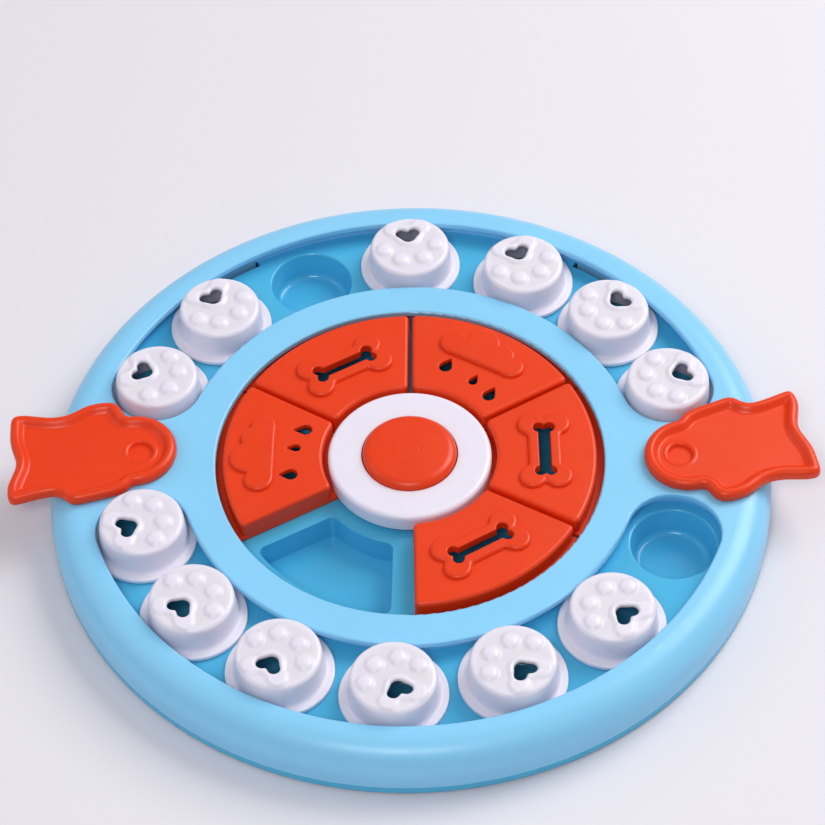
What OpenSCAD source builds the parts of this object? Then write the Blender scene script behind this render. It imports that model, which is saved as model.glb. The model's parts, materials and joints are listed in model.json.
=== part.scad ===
// Round treat puzzle for a dog. A light-blue tray holds two curved channels of
// sliding paw caps, a ring of five sector sliders round a squeaker button, and
// two fish that swing over small cups. The tray stands on the table at z = 0,
// with its axis on Z and the two bridges between the channels on the X axis.

/* [Tray] */
// Outside diameter of the tray
tray_d = 280; // [276:1:300]
// Height of the cover's top face above the table
cover_top = 22; // [21:0.5:26]
// Height of the inner deck that caps and sliders run on
deck_top = 14; // [12:0.5:15]
// Radius of the round outer edge of the cover
rim_round = 11.5; // [9:0.5:12]
// Wall thickness of the cover
cover_wall = 2.4; // [1.8:0.1:2.8]
// Wall thickness of the base tray
tray_wall = 2; // [1.5:0.1:2.4]
// Height of the base tray's flange that shows below the cover
flange_h = 3.2; // [2:0.1:5]
// Thickness of the floors of wells and pockets
floor_t = 1.5; // [1.2:0.1:2]

/* [Channels] */
// Radius of the circle that the caps travel on
channel_r = 107; // [106:0.5:108]
// Angle from a bridge's middle to the end well of a channel
channel_end = 19.6; // [19:0.1:21]
// Wells in each channel
wells = 7; // [7]
// Radius of a well below its rounded edge
well_r = 16.2; // [13:0.1:17]
// Radius of a well's floor corner
well_corner = 2.5; // [1:0.1:4]

/* [Caps] */
// Radius of a cap's flange
cap_flange_r = 20.3; // [19.6:0.1:20.4]
// Thickness of the flanges of caps and sliders
flange_t = 1.9; // [1.4:0.1:2.4]
// Radius of a cap's wall just above its flange
cap_r = 16.9; // [15.8:0.1:17.2]
// How much the cap's wall leans in towards its top
cap_taper = 0.8; // [0:0.1:1.5]
// How far a cap's top stands above the cover
cap_rise = 5.2; // [3:0.1:8]
// Shell thickness of caps and sliders
shell_t = 2.2; // [1.6:0.1:2.6]

/* [Sector sliders] */
// Outer radius of a slider's body
slider_r = 72.3; // [70:0.1:74]
// How far a slider's top stands above the cover
slider_rise = 1.7; // [1:0.1:3]
// Distance from a slider's side to the line between two sectors
slider_side = 0.97; // [0.6:0.01:2]
// How far the slider's flanges reach past its body
slider_flange = 6; // [4:0.1:6.4]
// Radius of the rounded top edges of sliders
slider_round = 1.6; // [0.8:0.1:2]
// Distance from a sector line to a treat pocket
pocket_side = 5.6; // [4.5:0.1:8]
// Inner radius of the treat pockets
pocket_in_r = 37; // [36:0.5:42]
// Outer radius of the treat pockets
pocket_out_r = 70; // [66:0.5:71]

/* [Hub and button] */
// Radius of the white hub disc
hub_r = 31.7; // [31:0.1:32.5]
// How far the hub's top stands above the cover
hub_rise = 1.8; // [1.2:0.1:3]
// Radius of the round edge of the hub
hub_round = 2; // [1:0.1:2.4]
// Radius of the button
button_r = 18.35; // [16:0.05:18.6]
// Height of the button's middle above the hub
button_rise = 3.2; // [2.6:0.1:5]
// How far the button can be pressed
button_travel = 3.5; // [2:0.1:3.5]

/* [Fish] */
// Distance of a fish's pivot from the middle of the tray
fish_pivot_r = 104.2; // [103:0.1:106]
// Thickness of a fish
fish_t = 4.3; // [3.5:0.1:5]
// Width of the raised rim of a fish
fish_rim = 4; // [3:0.1:5]
// Depth of the flat floor below the rim
fish_recess = 2; // [1:0.1:2.4]
// Radius of a fish's pivot post
post_r = 5; // [4:0.1:6]
// Radius of the small cup below a fish
fish_cup_r = 9.2; // [7:0.1:9.4]

/* [Fasteners and feet] */
// Radius of a screw's shank
screw_r = 1.1; // [1:0.05:1.3]
// Radius of a screw's head
head_r = 2.8; // [2.4:0.1:3]
// Radius of the screw bosses
boss_r = 3; // [2.8:0.1:3.2]
// Radius of the rubber feet
foot_r = 8; // [6:0.5:9]
// How far the feet stand out below the tray
foot_h = 1; // [0.6:0.1:1.4]

/* [Clearances] */
// Running clearance under and over sliding flanges
slide_gap = 0.3; // [0.3:0.05:0.6]
// Clearance of a cap's flange to the channel walls
channel_gap = 0.7; // [0.5:0.05:1]
// Clearance of a cap's wall to the lips of the cover
lip_gap = 0.9; // [0.7:0.05:1.4]
// Gap between the sliders and the cover's ring
ring_gap = 2.9; // [2:0.1:3.5]
// Gap between the sliders and the hub disc
hub_gap = 2; // [1.5:0.1:3]
// Clearance of the sliders' flanges to their guide walls
guide_gap = 1; // [0.6:0.1:1.4]
// Radial clearance of a fish's post in its bore
post_gap = 0.08; // [0.05:0.01:0.1]
// Clearance of the button in the hub
button_gap = 0.35; // [0.3:0.05:0.6]
// Clearance between the skirts of cover and tray
skirt_gap = 1; // [0.5:0.1:1.2]
// Clearance of a screw's shank in its pilot hole
thread_gap = 0.05; // [0.03:0.01:0.1]

/* [Hidden] */

tray_blue = [0.55, 0.82, 0.97];
fish_red = [0.95, 0.33, 0.2];
cap_white = [0.93, 0.93, 0.97];
steel = [0.72, 0.73, 0.75];
rubber = [0.75, 0.77, 0.8];
bulb_tan = [0.85, 0.8, 0.68];

tiny = 0.02;             // keeps two faces of one cut from lying in one plane
far_out = 400;           // longer than anything in the tray
round_fn = 120;
small_fn = 48;

tray_r = tray_d / 2;
base_r = tray_r - cover_wall - skirt_gap;      // outer radius of the tray's inner skirt
flange_top = foot_h + flange_h;
deck_under = deck_top - tray_wall;
well_floor = foot_h + floor_t;
cover_under = cover_top - cover_wall;
rim_mid_r = tray_r - rim_round;                // middle of the rim's round edge
rim_mid_z = cover_top - rim_round;

lip_w = cap_r + lip_gap;                       // half width of a channel's opening
channel_w = cap_flange_r + channel_gap;        // half width between the channel walls
guide_t = 2;                                   // thickness of the cover's hanging walls
well_pitch = (180 - 2 * channel_end) / (wells - 1);
well_draft = 1.4;
well_round = 0.9;
lip_round = 0.9;                               // radius of the upper edges of the cover's openings

slide_z = deck_top + slide_gap;                // underside of caps and sliders
flange_z = slide_z + flange_t;                 // top of their flanges
cap_top = cover_top + cap_rise;
cap_round = 1.8;
slider_top = cover_top + slider_rise;
slider_in_r = hub_r + hub_gap;
ring_r = slider_r + ring_gap;                  // inner edge of the cover's ring
guide_r = slider_r + slider_flange + guide_gap;
sectors = 6;
sector_a = 360 / sectors;
slider_corner = 2;
pocket_corner = 3;

hub_top = cover_top + hub_rise;
hub_under = hub_top - cover_wall;
hub_skirt_z = flange_z + slide_gap;
hub_tube_r = slider_in_r - slider_flange - guide_gap;   // outside of the hub's inner tube
hub_boss_at = hub_tube_r - head_r - 0.2;                  // radius of the hub's screw circle
hub_screw_angles = [30, 150, 270];
button_under = deck_top + button_travel + 0.5;
button_flange = 2;
plunger_r = 7;
squeak_r = 17;                                 // radius of the squeaker's well
reed_t = 2;

boss_in_at = (guide_r + guide_t + channel_r - channel_w - guide_t) / 2;
boss_out_at = channel_r + channel_w + guide_t + 1.2;
inner_screws = [for (k = [0:sectors - 1]) k * sector_a];
outer_screws = [for (k = [0:7]) 22.5 + 45 * k];
screw_l = 6;
head_h = 2;
hook_angles = [55, 125, 235, 305];
hook_half = 3.8;                               // half the angle that a snap hook spans
foot_wells = [0, 3, 6];
foot_sunk = 0.5;

// Resting angles of the caps on their circle, and how far each is turned in place
cap_angles = [19.9, 43.1, 65.7, 91.2, 136.8, 160, 199.7, 222.2, 244.7, 268.1, 291.9, 315.7];
cap_turns = [3, 0, 47, 8, -12, 1, 10, 8, -4, 24, 18, 5];
// Resting angles of the sliders, two with clouds and three with bones
bone_angles = [120.8, 1.9, 302];
cloud_angles = [61.3, 180.4];

// Resting directions of the two fish, and their outline from the pivot to the tail
fish_angles = [188, 15.4];
fish_z = cover_top + slide_gap;
fish_head = [3.2, -0.9];
fish_head_r = 16.9;
fish_round = 2;
fish_cup_x = 18.4;
fish_cup_deep = 6;
fish_tail_in = 47.6;
fish_body = [
    [2, 16], [8.5, 18.5], [13, 19.9], [17.5, 21.5], [28.5, 22.2], [33, 16.6], [41, 18.1], [51.5, 18.9],
    [52.3, 10], [fish_tail_in, 0], [50, -11], [48.6, -24], [45.5, -24.6], [33, -20.5],
    [27.5, -21], [21, -25.6], [13, -26.8], [7, -25.6], [4.6, -18.4], [2, -16]
];
fish_belly = 8;                                // how far the post boss of the cover reaches out
post_end = deck_top + 3;
washer_r = 6.2;
washer_t = 1.2;

// ---- Plan shapes -----------------------------------------------------------

// Wedge from the origin, between two angles less than 180 degrees apart
module wedge_2d(from, to) {
    polygon([for (a = [0:3]) a == 0 ? [0, 0]
        : far_out * [cos(from + (to - from) * (a - 1) / 2), sin(from + (to - from) * (a - 1) / 2)]]);
}

module ring_2d(inner, outer) {
    difference() {
        circle(outer, $fn = round_fn);
        circle(inner, $fn = round_fn);
    }
}

// One curved channel round +Y with round ends, grown to a half width
module channel_2d(half_w) {
    intersection() {
        ring_2d(channel_r - half_w, channel_r + half_w);
        wedge_2d(channel_end, 180 - channel_end);
    }
    for (a = [channel_end, 180 - channel_end])
        rotate(a) translate([channel_r, 0]) circle(half_w + tiny / 2, $fn = round_fn);
}

// Sector along +X whose sides lie at a distance from the sector lines, with round corners
module sector_2d(inner, outer, side, corner) {
    half = sector_a / 2;
    out_at = outer - corner;
    in_at = inner + corner;
    out_a = half - asin((side + corner) / out_at);
    in_a = half - asin((side + corner) / in_at);
    touch_out = sqrt(pow(out_at, 2) - pow(side + corner, 2) + pow(side, 2));
    touch_in = sqrt(pow(in_at, 2) - pow(side + corner, 2) + pow(side, 2));
    middle = (inner + outer) / 2;
    intersection() {
        ring_2d(touch_in, touch_out);
        translate([side / sin(half), 0]) wedge_2d(-half, half);
    }
    intersection() {
        ring_2d(middle, outer);
        wedge_2d(-out_a, out_a);
    }
    intersection() {
        ring_2d(inner, middle);
        wedge_2d(-in_a, in_a);
    }
    for (s = [-1, 1]) {
        rotate(s * out_a) translate([out_at, 0]) circle(corner + tiny / 2, $fn = small_fn);
        rotate(s * in_a) translate([in_at, 0]) circle(corner + tiny / 2, $fn = small_fn);
    }
}

// Round drop with its tip on +X
module drop_2d(r, tip) {
    circle(r + tiny / 2, $fn = small_fn);
    polygon([[r * r / tip, r * sqrt(1 - pow(r / tip, 2))], [tip, 0],
        [r * r / tip, -r * sqrt(1 - pow(r / tip, 2))]]);
}

// Round heart whose blunt end points to -X: two lobes that each taper to a smaller circle
module heart_2d() {
    blunt = [4.9, 2.75];
    lobe = [7.05, 2.55];
    lobe_r = 2.35;
    translate([blunt[0], 0]) circle(blunt[1], $fn = small_fn);
    for (s = [-1, 1])
        translate([lobe[0], s * lobe[1]]) circle(lobe_r, $fn = small_fn);
    // straight flanks and the web between the lobes
    polygon([[blunt[0] - 1, -1], [lobe[0] + 0.6, -1], [lobe[0] + 0.6, 1], [blunt[0] - 1, 1]]);
}

// Fish outline, moved in by an inset
module fish_2d(inset = 0) {
    offset(r = fish_round - inset, $fn = small_fn)
        offset(delta = -2 * fish_round)
            offset(r = fish_round, $fn = small_fn)
                union() {
                    translate(fish_head) circle(fish_head_r, $fn = 72);
                    polygon(fish_body);
                }
}

// ---- Shared solids ---------------------------------------------------------

// Puck from z = 0 with a chamfered top edge
module chamfer_puck(r, h, chamfer) {
    rotate_extrude($fn = small_fn)
        polygon([[0, 0], [r, 0], [r, h - chamfer], [r - chamfer, h], [0, h]]);
}

// Bar from z = 0 with chamfered top edges, along Y
module chamfer_bar(half_w, length, h, chamfer) {
    rotate([90, 0, 0])
        linear_extrude(length, center = true)
            polygon([[-half_w, 0], [half_w, 0], [half_w, h - chamfer],
                [half_w - chamfer, h], [chamfer - half_w, h], [-half_w, h - chamfer]]);
}

// Pan-head screw whose head lies below a face at height z
module screw(z) {
    translate([0, 0, z - head_h])
        rotate_extrude($fn = small_fn)
            difference() {
                polygon([[0, 0], [head_r - 0.6, 0], [head_r, 0.8], [head_r, head_h],
                    [screw_r, head_h], [screw_r, head_h + tray_wall + screw_l - 1],
                    [0, head_h + tray_wall + screw_l]]);
                square([0.9, 1]);
            }
}

module at_screws(angles, r) {
    for (a = angles)
        rotate(a) translate([r, 0, 0]) children();
}

module at_wells() {
    for (side = [0, 180], k = [0:wells - 1])
        rotate(side + channel_end + k * well_pitch) translate([channel_r, 0, 0]) children();
}

// ---- Base tray -------------------------------------------------------------

// Inside of a well: drafted wall, round floor corner and round upper edge
module well_cut() {
    foot = well_r - well_draft;
    rotate_extrude($fn = round_fn) {
        polygon([[0, well_floor], [foot - well_corner, well_floor], [foot, well_floor + well_corner],
            [well_r, deck_top - well_round], [well_r, deck_top + 1], [0, deck_top + 1]]);
        translate([foot - well_corner, well_floor + well_corner]) circle(well_corner, $fn = small_fn);
        difference() {
            translate([well_r - tiny, deck_top - well_round])
                square([well_round + tiny, well_round + 1]);
            translate([well_r + well_round, deck_top - well_round]) circle(well_round, $fn = small_fn);
        }
    }
}

module well_cup() {
    translate([0, 0, foot_h])
        cylinder(h = deck_under - foot_h + 1, r1 = well_r - well_draft + floor_t,
            r2 = well_r + floor_t, $fn = round_fn);
}

module base_tray() {
    rib_t = 1.6;
    rib_r = pocket_out_r + floor_t + 2.5;
    rib_z = 7;
    color(tray_blue) difference() {
        union() {
            rotate_extrude($fn = round_fn) {
                polygon([[0, deck_under], [base_r - tray_wall, deck_under],
                    [base_r - tray_wall, foot_h], [base_r, foot_h], [base_r, deck_under],
                    [base_r - tray_wall, deck_top], [0, deck_top]]);
                translate([base_r - tray_wall, foot_h]) square([tray_r - base_r + tray_wall, flange_h]);
                translate([rib_r, rib_z]) square([rib_t, deck_under - rib_z + 1]);
            }
            at_wells() well_cup();
            for (k = [0:sectors - 1])
                rotate(k * sector_a) translate([0, 0, foot_h]) linear_extrude(deck_under - foot_h + 1)
                    sector_2d(pocket_in_r - floor_t, pocket_out_r + floor_t,
                        pocket_side - floor_t, pocket_corner + floor_t);
            translate([0, 0, foot_h]) cylinder(h = deck_under - foot_h + 1, r = squeak_r + floor_t,
                $fn = round_fn);
            for (side = [0, 180], k = [0:wells - 2])
                rotate(side + channel_end + (k + 0.5) * well_pitch)
                    translate([rib_r + rib_t / 2, -rib_t / 2, rib_z + 1])
                        cube([channel_r + 17 - rib_r, rib_t, deck_under - rib_z]);
        }
        at_wells() well_cut();
        for (k = [0:sectors - 1])
            rotate(k * sector_a) translate([0, 0, well_floor]) linear_extrude(deck_top)
                sector_2d(pocket_in_r, pocket_out_r, pocket_side, pocket_corner);
        translate([0, 0, well_floor]) cylinder(h = deck_top, r = squeak_r, $fn = round_fn);
        // sound holes below the squeaker
        for (k = [0:4])
            rotate(72 * k) translate([13, 0, 0]) cylinder(h = deck_top, r = 1.2, $fn = small_fn);
        // screw holes through the deck
        at_screws(hub_screw_angles, hub_boss_at) cylinder(h = deck_top + 1, r = screw_r + 0.6, $fn = small_fn);
        at_screws(inner_screws, boss_in_at) cylinder(h = deck_top + 1, r = screw_r + 0.6, $fn = small_fn);
        at_screws(outer_screws, boss_out_at) cylinder(h = deck_top + 1, r = screw_r + 0.6, $fn = small_fn);
        // windows for the cover's snap hooks
        for (a = hook_angles)
            rotate([0, 0, a]) translate([0, 0, deck_under - 1]) linear_extrude(tray_wall + 2)
                intersection() {
                    ring_2d(channel_r + channel_w - 2.4, channel_r + channel_w + guide_t + 0.3);
                    wedge_2d(-hook_half - 0.4, hook_half + 0.4);
                }
        // seats of the rubber feet
        for (side = [0, 180], k = foot_wells)
            rotate(side + channel_end + k * well_pitch) translate([channel_r, 0, 0])
                cylinder(h = foot_h + foot_sunk, r = foot_r + 0.15, $fn = small_fn);
    }
}

module rubber_feet() {
    color(rubber) for (side = [0, 180], k = foot_wells)
        rotate(side + channel_end + k * well_pitch) translate([channel_r, 0, 0])
            rotate_extrude($fn = small_fn)
                polygon([[0, 0], [foot_r - 0.5, 0], [foot_r, 0.5], [foot_r, foot_h + foot_sunk],
                    [0, foot_h + foot_sunk]]);
}

// ---- Top cover -------------------------------------------------------------

// What rounding takes off the cover's top edge at r, seen in half section; flip is 1 on the far side
module edge_cut(r, flip = 0) {
    translate([r, cover_top - lip_round]) mirror([flip, 0]) difference() {
        translate([-tiny, 0]) square([lip_round + tiny, lip_round + 1]);
        translate([lip_round, 0]) circle(lip_round, $fn = small_fn);
    }
}

// Round upper edges of one channel's opening
module lip_cut() {
    rotate_extrude(angle = 180 - 2 * channel_end, start = channel_end, $fn = round_fn) {
        edge_cut(channel_r + lip_w);
        edge_cut(channel_r - lip_w, 1);
    }
    for (a = [channel_end, 180 - channel_end])
        rotate(a) translate([channel_r, 0]) rotate_extrude($fn = round_fn) edge_cut(lip_w + tiny / 2);
}

// Half section of everything inside the cover's outer surface, moved in by an inset
module rim_section(inset) {
    square([rim_mid_r, cover_top - inset]);
    square([tray_r - inset, rim_mid_z]);
    translate([rim_mid_r, rim_mid_z]) circle(rim_round - inset, $fn = round_fn);
}

module cover_shell() {
    rotate_extrude($fn = round_fn) {
        difference() {
            rim_section(0);
            rim_section(cover_wall);
            square([ring_r, far_out]);
            translate([0, -far_out]) square([tray_r + 1, far_out + flange_top]);
            edge_cut(ring_r);
        }
        translate([guide_r, deck_top]) square([guide_t, cover_top - deck_top - 1]);
    }
}

module snap_hook() {
    inner_r = channel_r + channel_w + 0.3;
    outer_r = channel_r + channel_w + guide_t - 0.3;
    barb = 1.4;
    barb_top = deck_under - slide_gap;
    rotate_extrude(angle = 2 * hook_half, start = -hook_half, $fn = round_fn)
        polygon([[inner_r, deck_top + 1], [outer_r, deck_top + 1], [outer_r, barb_top],
            [outer_r + barb, barb_top], [outer_r, barb_top - 2.5], [inner_r, barb_top - 2.5]]);
}

module top_cover() {
    hang = cover_top - deck_top - 1;
    color(tray_blue) difference() {
        union() {
            cover_shell();
            for (side = [0, 180]) rotate(side) {
                translate([0, 0, deck_top]) linear_extrude(hang) difference() {
                    channel_2d(channel_w + guide_t);
                    channel_2d(channel_w);
                }
                // bearing boss and small cup of a fish
                translate([fish_pivot_r, 0, post_end + 0.4])
                    cylinder(h = cover_top - post_end - 1, r = fish_belly, $fn = small_fn);
                translate([fish_pivot_r + fish_cup_x, 0, deck_top])
                    cylinder(h = cover_top - deck_top - 1.5, r = fish_cup_r + tray_wall, $fn = small_fn);
            }
            at_screws(inner_screws, boss_in_at) translate([0, 0, deck_top]) rotate(90)
                cylinder(h = hang, r = boss_r - tiny, $fn = small_fn);
            at_screws(outer_screws, boss_out_at) translate([0, 0, deck_top])
                cylinder(h = cover_under - deck_top, r = boss_r, $fn = small_fn);
            for (a = hook_angles) rotate(a) snap_hook();
        }
        for (side = [0, 180]) rotate(side) {
            translate([0, 0, cover_under - 1]) linear_extrude(cover_wall + 2) channel_2d(lip_w);
            lip_cut();
            translate([fish_pivot_r, 0, deck_top])
                cylinder(h = cover_top, r = post_r + post_gap, $fn = small_fn);
            translate([fish_pivot_r + fish_cup_x, 0, cover_top - fish_cup_deep])
                cylinder(h = fish_cup_deep + 1, r = fish_cup_r, $fn = small_fn);
        }
        at_screws(inner_screws, boss_in_at) translate([0, 0, deck_top - 1])
            cylinder(h = screw_l + 1, r = screw_r + thread_gap, $fn = small_fn);
        at_screws(outer_screws, boss_out_at) translate([0, 0, deck_top - 1])
            cylinder(h = screw_l + 1, r = screw_r + thread_gap, $fn = small_fn);
    }
}

module cover_screws() {
    color(steel) {
        at_screws(inner_screws, boss_in_at) screw(deck_under);
        at_screws(outer_screws, boss_out_at) screw(deck_under);
    }
}

// ---- Hub, button and squeaker ----------------------------------------------

module hub_cap() {
    hole_r = button_r + button_gap;
    color(cap_white) difference() {
        union() {
            rotate_extrude($fn = round_fn) {
                translate([hole_r, hub_under]) square([hub_r - hub_round - hole_r, cover_wall]);
                translate([hub_r - cover_wall, hub_skirt_z])
                    square([cover_wall, hub_top - hub_round - hub_skirt_z]);
                intersection() {
                    translate([hub_r - hub_round, hub_top - hub_round]) circle(hub_round, $fn = small_fn);
                    translate([hub_r - hub_round - 1, hub_under - 1]) square([far_out, far_out]);
                }
                translate([hub_tube_r - tray_wall, deck_top]) square([tray_wall, hub_top - deck_top - 1]);
            }
            at_screws(hub_screw_angles, hub_boss_at) translate([0, 0, deck_top]) rotate(90)
                cylinder(h = hub_top - deck_top - 1, r = head_r, $fn = small_fn);
        }
        at_screws(hub_screw_angles, hub_boss_at) translate([0, 0, deck_top - 1])
            cylinder(h = screw_l + 1, r = screw_r + thread_gap, $fn = small_fn);
    }
}

module hub_screws() {
    color(steel) at_screws(hub_screw_angles, hub_boss_at) screw(deck_under);
}

module press_button() {
    edge_z = hub_top + 0.9;
    edge_round = 1.6;
    dome = button_rise - 0.9 - edge_round;
    dome_half = button_r - edge_round;
    dome_r = (pow(dome_half, 2) + pow(dome, 2)) / (2 * dome);
    rim_z = edge_z + edge_round;
    color(fish_red) rotate_extrude($fn = round_fn) {
        difference() {
            union() {
                translate([0, button_under]) square([button_r, edge_z - button_under]);
                translate([0, button_under]) square([dome_half, rim_z - button_under]);
                translate([dome_half, edge_z]) circle(edge_round, $fn = small_fn);
                intersection() {
                    translate([0, rim_z + dome - dome_r]) circle(dome_r, $fn = 360);
                    translate([0, hub_top]) square([dome_half, far_out]);
                }
            }
            translate([-1, button_under - 1])
                square([button_r - shell_t + 1, hub_top - button_under + 1]);
            translate([-far_out, 0]) square([far_out, far_out]);
        }
        translate([button_r - 1, hub_under - slide_gap - button_flange]) square([2.55, button_flange]);
        translate([0, hub_under - slide_gap - 0.1]) square([plunger_r, 4]);
    }
}

module squeaker_bulb() {
    low = well_floor + reed_t;
    high = hub_under - 2 * slide_gap - 0.1;
    step = (high - low) / 6;
    wide = squeak_r - 3.5;
    slim = wide - 3;
    skin = 1.2;
    color(bulb_tan) rotate_extrude($fn = round_fn) difference() {
        polygon([[2, low], [wide, low], [slim, low + step], [wide, low + 2 * step],
            [slim, low + 3 * step], [wide, low + 4 * step], [slim, low + 5 * step],
            [slim, high], [0, high], [0, low + 3], [2, low + 3]]);
        polygon([[0, low + skin], [wide - 2 * skin, low + skin], [slim - skin, low + step],
            [wide - skin - 0.4, low + 2 * step], [slim - skin, low + 3 * step],
            [wide - skin - 0.4, low + 4 * step], [slim - skin, low + 5 * step],
            [slim - skin, high - skin], [0, high - skin]]);
    }
}

module squeaker_reed() {
    color(cap_white) rotate_extrude($fn = small_fn)
        translate([1.5, well_floor]) square([8.5, reed_t]);
}

// ---- Paw caps --------------------------------------------------------------

// Section of the cap's outside, with a hollow fillet on the flange and a round top edge
module cap_section() {
    top_r = cap_r - cap_taper;
    fillet = 1.2;
    difference() {
        union() {
            polygon([[0, slide_z], [cap_flange_r, slide_z], [cap_flange_r, flange_z - 0.5],
                [cap_flange_r - 0.5, flange_z], [cap_r, flange_z],
                [top_r, cap_top - cap_round], [top_r - cap_round, cap_top], [0, cap_top]]);
            translate([top_r - cap_round, cap_top - cap_round]) circle(cap_round, $fn = small_fn);
            translate([cap_r - 0.5, flange_z - 0.5]) square([fillet + 0.5, fillet + 0.5]);
        }
        translate([cap_r + fillet, flange_z + fillet]) circle(fillet, $fn = small_fn);
    }
}

// Four toe domes and a lobed pad, standing on a face at z = 0
module paw_relief() {
    toe_r = 3.5;
    toe_h = 1.2;
    ball = (pow(toe_r, 2) + pow(toe_h, 2)) / (2 * toe_h);
    toes = [[-0.9, -10.6], [-7.2, -4.5], [-7.2, 4.5], [-0.9, 10.6]];
    pad_h = 1.1;
    sunk = 1;
    for (toe = toes)
        translate([toe[0], toe[1], toe_h - ball]) sphere(ball, $fn = small_fn);
    translate([5.8, 0, -sunk]) chamfer_puck(6, pad_h + sunk, 0.7);
    for (s = [-1, 1])
        translate([9.7, s * 5.3, -sunk]) chamfer_puck(4.1, pad_h + sunk, 0.7);
}

module paw_cap(k) {
    inside_r = cap_r - cap_taper - shell_t;
    color(cap_white)
        rotate(cap_angles[k]) translate([channel_r, 0, 0]) rotate(cap_turns[k])
            difference() {
                union() {
                    rotate_extrude($fn = round_fn) cap_section();
                    translate([0, 0, cap_top]) paw_relief();
                }
                translate([0, 0, slide_z - 1]) cylinder(h = cap_top - shell_t - slide_z + 1,
                    r = inside_r, $fn = round_fn);
                translate([0, 0, cap_top - 2 * shell_t]) linear_extrude(4 * shell_t) heart_2d();
            }
}

// ---- Sector sliders --------------------------------------------------------

// Upper edge of one straight side: a bar whose top corner is round
module side_round(side) {
    top = slider_top + tiny;
    low = slide_z - 1;
    mirror([0, side, 0]) rotate(sector_a / 2) rotate([90, 0, 90]) linear_extrude(slider_r + 20)
        translate([-slider_side + tiny, 0]) {
            translate([-far_out, low]) square([far_out - slider_round, top - low]);
            translate([-far_out, low]) square([far_out, top - low - slider_round]);
            translate([-slider_round, top - slider_round]) circle(slider_round, $fn = small_fn);
        }
}

// Hollow sector with a flange at both curved ends, round top edges and an open underside
module slider_blank() {
    low = slider_in_r - tiny;
    high = slider_r + tiny;
    difference() {
        union() {
            intersection() {
                translate([0, 0, slide_z]) linear_extrude(slider_top - slide_z + 1)
                    sector_2d(slider_in_r, slider_r, slider_side, slider_corner);
                rotate_extrude(angle = sector_a, start = -sector_a / 2, $fn = round_fn) {
                    translate([low + slider_round, 0])
                        square([high - low - 2 * slider_round, slider_top]);
                    translate([low, 0]) square([high - low, slider_top - slider_round]);
                    for (r = [low + slider_round, high - slider_round])
                        translate([r, slider_top - slider_round]) circle(slider_round, $fn = small_fn);
                }
                side_round(0);
                side_round(1);
            }
            translate([0, 0, slide_z]) linear_extrude(flange_t) intersection() {
                ring_2d(slider_in_r - slider_flange + 0.9, slider_r + slider_flange);
                translate([slider_side / sin(sector_a / 2), 0]) wedge_2d(-sector_a / 2, sector_a / 2);
            }
        }
        translate([0, 0, slide_z - 1]) linear_extrude(slider_top - shell_t - slide_z + 1)
            sector_2d(slider_in_r + shell_t, slider_r - shell_t, slider_side + shell_t, slider_corner);
    }
}

bone_at = 52.2;
relief_h = 1.3;
relief_sunk = 1;
relief_edge = 0.7;

// Bone outline raised on a slider, with a bone-shaped slot through it
module bone_slider(k) {
    knuckle = [4.9, 13];
    knuckle_r = 5.4;
    shank = 6.5;
    slot_knuckle = [2, 10.8];
    slot_r = 2.2;
    slot_shank = 2.3;
    h = relief_h + relief_sunk;
    color(fish_red) rotate(bone_angles[k]) difference() {
        union() {
            slider_blank();
            translate([bone_at, 0, slider_top - relief_sunk]) {
                for (sx = [-1, 1], sy = [-1, 1])
                    translate([sx * knuckle[0], sy * knuckle[1], 0])
                        chamfer_puck(knuckle_r, h, relief_edge);
                chamfer_bar(shank, 2 * knuckle[1], h, relief_edge);
            }
        }
        translate([bone_at, 0, slider_top - 2 * shell_t]) linear_extrude(4 * shell_t) {
            for (sx = [-1, 1], sy = [-1, 1])
                translate([sx * slot_knuckle[0], sy * slot_knuckle[1]]) circle(slot_r, $fn = small_fn);
            square([2 * slot_shank, 2 * slot_knuckle[1]], center = true);
        }
    }
}

// Cloud raised on a slider, with three drops cut through below it
module cloud_slider(k) {
    lobes = [[57.9, 13, 5.6], [62.4, 2.4, 7.2], [60.6, -7.4, 5.2], [57.2, -13.6, 5]];
    flat_in = 52.3;
    drops = [[45.6, 10, 2.5, 4.9], [44.1, -3.2, 1.7, 4], [40.6, -12.3, 2.4, 5.2]];
    h = relief_h + relief_sunk;
    color(fish_red) rotate(cloud_angles[k]) difference() {
        union() {
            slider_blank();
            translate([0, 0, slider_top - relief_sunk]) {
                for (lobe = lobes)
                    translate([lobe[0], lobe[1], 0]) chamfer_puck(lobe[2], h, relief_edge);
                translate([flat_in + 4.5, 0, 0]) chamfer_bar(4.5, 26, h, relief_edge);
            }
        }
        for (d = drops)
            translate([d[0], d[1], slider_top - 2 * shell_t]) linear_extrude(4 * shell_t)
                drop_2d(d[2], d[3]);
    }
}

// ---- Fish ------------------------------------------------------------------

module at_fish(side) {
    rotate(180 * (1 - side)) translate([fish_pivot_r, 0, 0])
        rotate(fish_angles[side] - 180 * (1 - side)) children();
}

module fish(side) {
    eye_r = 4.6;
    color(fish_red) at_fish(side) difference() {
        union() {
            translate([0, 0, fish_z]) linear_extrude(fish_t) fish_2d();
            translate([0, 0, post_end]) cylinder(h = fish_z - post_end + 1, r = post_r, $fn = small_fn);
        }
        translate([0, 0, fish_z + fish_t - fish_recess]) linear_extrude(fish_t) fish_2d(fish_rim);
        translate([0, 0, fish_z + fish_t - fish_recess - 0.8]) cylinder(h = fish_t, r = eye_r, $fn = small_fn);
        translate([0, 0, post_end - 1]) cylinder(h = 6, r = screw_r + thread_gap, $fn = small_fn);
    }
}

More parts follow.
